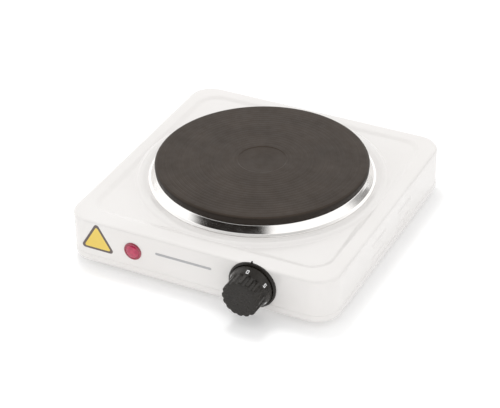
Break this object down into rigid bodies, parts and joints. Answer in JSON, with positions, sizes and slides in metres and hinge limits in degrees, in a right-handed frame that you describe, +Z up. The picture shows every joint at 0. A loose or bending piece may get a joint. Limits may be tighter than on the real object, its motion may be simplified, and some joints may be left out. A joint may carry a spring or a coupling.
{
  "type": "electric hot plate",
  "caption": "Free-standing electric hot plate: a square enamelled casing with a round cast-iron cooking plate in a spill ring, and a front heat knob with a pilot lamp.",
  "frame": {"origin": "on the table plane that the feet stand on, under the middle of the overall box (knob and cord gland included)", "axes": "+Z up, +Y to the back of the appliance, +X to the right of a user who faces the knob"},
  "size_m": [0.245, 0.2792, 0.0612],
  "materials": {
    "white_enamel": "glossy",
    "cast_iron": "matt black seasoned",
    "polished_steel": "polished",
    "plain_steel": "zinc plated",
    "aluminised_steel": "satin",
    "black_plastic": "satin moulded",
    "print_white": "printed",
    "print_grey": "printed",
    "print_brown": "printed",
    "print_yellow": "printed",
    "lamp_red": "translucent",
    "lamp_rim": "glossy",
    "clear_glass": "clear",
    "white_plastic": "moulded",
    "steatite": "unglazed",
    "resistance_wire": "oxidised",
    "brass": "machined",
    "copper_alloy": "spring strip",
    "silver": "polished",
    "grey_rubber": "matt moulded",
    "brown_wire": "silicone sleeve",
    "blue_wire": "silicone sleeve",
    "earth_wire_green": "silicone sleeve"
  },
  "bodies": {
    "casing": {"housing": "white_enamel", "housing_walls": "white_enamel", "base_tray": "white_enamel", "rubber_feet": "grey_rubber", "foot_screws": "plain_steel", "fixing_brackets": "plain_steel", "hotplate_casting": "cast_iron", "spill_ring": "polished_steel", "heating_coil_inner": "resistance_wire", "heating_coil_middle": "resistance_wire", "heating_coil_outer": "resistance_wire", "coil_leads": "plain_steel", "ceramic_fill": "steatite", "plate_under_cover": "aluminised_steel", "plate_terminal_block": "steatite", "plate_busbars": "plain_steel", "heat_reflector": "aluminised_steel", "hold_down_bar": "plain_steel", "centre_stud": "plain_steel", "centre_washer": "plain_steel", "centre_nut": "plain_steel", "thermal_cutout_can": "aluminised_steel", "thermal_cutout_base": "black_plastic", "cutout_strap": "plain_steel", "thermostat_bracket": "plain_steel", "thermostat_body": "steatite", "thermostat_bush": "brass", "pin_guide": "steatite", "moving_contact_blade": "copper_alloy", "fixed_contact_blade": "copper_alloy", "bimetal_strip": "copper_alloy", "contact_rivets": "silver", "blade_stack": "steatite", "thermostat_terminals": "brass", "thermostat_screws": "plain_steel", "knob_bezel": "black_plastic", "lamp_lens": "lamp_red", "lamp_collar": "lamp_rim", "neon_bulb": "clear_glass", "lamp_holder": "white_plastic", "lamp_clip": "plain_steel", "lamp_tabs": "brass", "label_border": "print_brown", "label_field": "print_yellow", "name_bar": "print_grey", "cord_gland": "grey_rubber", "terminal_block": "white_plastic", "terminal_screws": "brass", "terminal_block_screw": "plain_steel", "earth_screw": "brass", "push_on_connectors": "white_plastic", "live_wires": "brown_wire", "neutral_wires": "blue_wire", "earth_wire": "earth_wire_green"},
    "knob": {"control_knob": "black_plastic", "dial_print": "print_white", "knob_spring": "plain_steel", "thermostat_spindle": "plain_steel"},
    "adjusting_pin": {"adjusting_pin": "steatite"}
  },
  "joints": [
    {"name": "knob_turn", "type": "hinge", "parent": "casing", "child": "knob", "pos_m": [0.0533, -0.11575, 0.028], "axis": [0, 1, 0], "range_deg": [0, 300]},
    {"name": "pin_slide", "type": "slide", "parent": "casing", "child": "adjusting_pin", "axis": [0, 1, 0], "range_m": [0, 0.0015]}
  ],
  "couplings": [
    {"joint": "pin_slide", "follows": "knob_turn", "m_per_rad": 0.000286}
  ]
}
